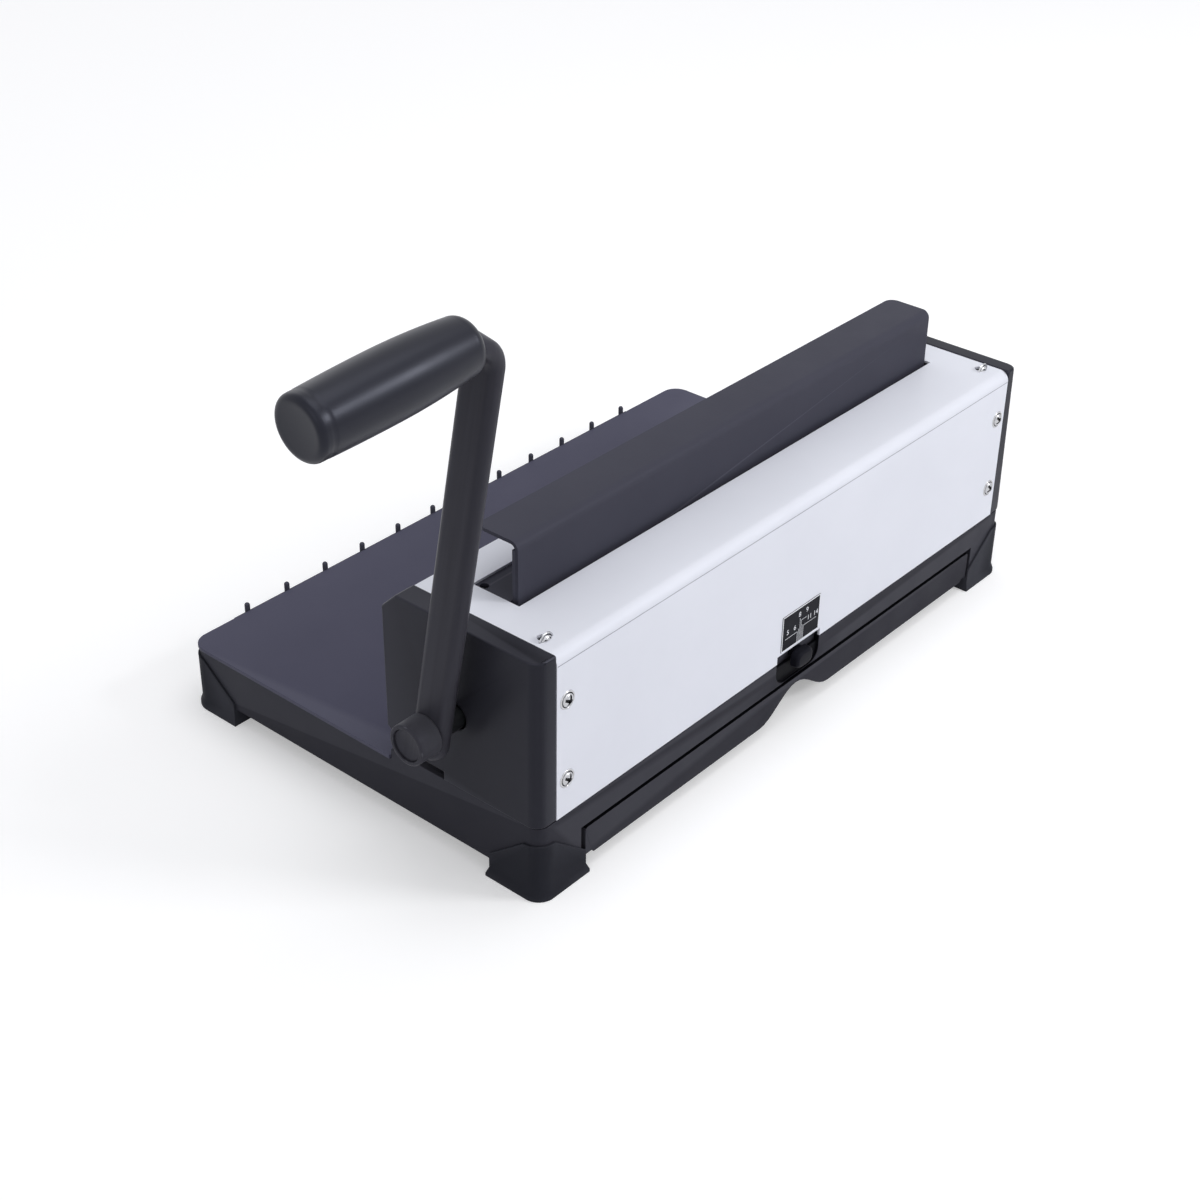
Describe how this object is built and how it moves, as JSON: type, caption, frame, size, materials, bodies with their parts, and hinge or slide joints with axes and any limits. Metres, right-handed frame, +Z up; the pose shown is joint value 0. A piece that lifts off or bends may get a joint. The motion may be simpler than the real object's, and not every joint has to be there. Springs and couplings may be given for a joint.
{
  "type": "wire binding machine",
  "caption": "Desktop machine that punches square holes along a stack of A4 sheets and closes a wire comb, worked by one side lever.",
  "frame": {"origin": "centre of the whole machine's box at rest, on the desk", "axes": "+X along the machine towards the lever, +Y from the wire pins at the table's front edge to the rear face with the drawer, +Z up"},
  "size_m": [0.4662, 0.23, 0.2754],
  "materials": {
    "base_plastic": "fine grained moulding",
    "cover_plastic": "fine grained moulding",
    "table_paint": "satin",
    "white_paint": "satin powder coat",
    "black_paint": "satin powder coat",
    "lever_paint": "satin powder coat",
    "grip_rubber": "matte",
    "foot_rubber": "matte",
    "steel": "zinc plated",
    "tool_steel": "hardened and oiled",
    "bright_steel": "bright",
    "bronze": "sintered",
    "label_black": "printed scale plate"
  },
  "bodies": {
    "frame": {"base": "base_plastic", "table_plate": "table_paint", "pin_rail": "base_plastic", "wire_pins": "black_paint", "foot_front_right": "foot_rubber", "foot_front_left": "foot_rubber", "foot_rear_right": "foot_rubber", "foot_rear_left": "foot_rubber", "foot_screws": "steel", "side_cover_right": "cover_plastic", "side_cover_left": "cover_plastic", "top_cover": "white_paint", "cover_screws": "bright_steel", "side_plate_right": "steel", "side_plate_left": "steel", "frame_screws": "tool_steel", "die_plate": "tool_steel", "paper_stop": "steel", "punch_guide": "tool_steel", "rear_tie_rod": "steel", "spring_rod": "steel", "shaft_bush_right": "bronze", "shaft_bush_left": "bronze", "slot_plate": "black_paint", "slot_plate_screws": "bright_steel", "size_label": "label_black"},
    "lever": {"main_shaft": "bright_steel", "cam_right": "tool_steel", "cam_left": "tool_steel", "shaft_collar": "steel", "shaft_sleeve": "tool_steel", "lever_arm": "lever_paint", "lever_hub": "lever_paint", "hub_cap": "lever_paint", "lever_grip": "grip_rubber"},
    "carrier": {"closing_bar": "black_paint", "press_strip": "black_paint", "lift_bracket_right": "steel", "lift_bracket_left": "steel", "punch_bar": "tool_steel", "punches": "bright_steel", "stop_arm": "steel", "roller_pins": "bright_steel", "carrier_screws": "tool_steel", "return_spring_right": "bright_steel", "return_spring_left": "bright_steel"},
    "roller_right": {"cam_roller_right": "bright_steel"},
    "roller_left": {"cam_roller_left": "bright_steel"},
    "drawer": {"chip_drawer": "base_plastic"},
    "size_slide": {"size_knob": "base_plastic", "stop_slide": "base_plastic"}
  },
  "joints": [
    {"name": "lever_hinge", "type": "hinge", "parent": "frame", "child": "lever", "pos_m": [-0.0504, 0.064, 0.0753], "axis": [1, 0, 0], "range_deg": [0, 85]},
    {"name": "carrier_slide", "type": "slide", "parent": "frame", "child": "carrier", "axis": [0, 0, -1], "range_m": [0, 0.022], "stiffness_N_per_m": 800, "springref_m": -0.03, "deforming": ["return_spring_right", "return_spring_left"]},
    {"name": "roller_right_spin", "type": "hinge", "parent": "carrier", "child": "roller_right", "pos_m": [0.1041, 0.064, 0.0618], "axis": [1, 0, 0], "continuous": true},
    {"name": "roller_left_spin", "type": "hinge", "parent": "carrier", "child": "roller_left", "pos_m": [-0.2049, 0.064, 0.0618], "axis": [1, 0, 0], "continuous": true},
    {"name": "drawer_slide", "type": "slide", "parent": "frame", "child": "drawer", "axis": [0, 1, 0], "range_m": [0, 0.085]},
    {"name": "size_stop_slide", "type": "slide", "parent": "frame", "child": "size_slide", "axis": [1, 0, 0], "range_m": [-0.005, 0.005]}
  ],
  "couplings": [
    {"joint": "carrier_slide", "follows": "lever_hinge", "m_per_rad": 0.014828}
  ]
}
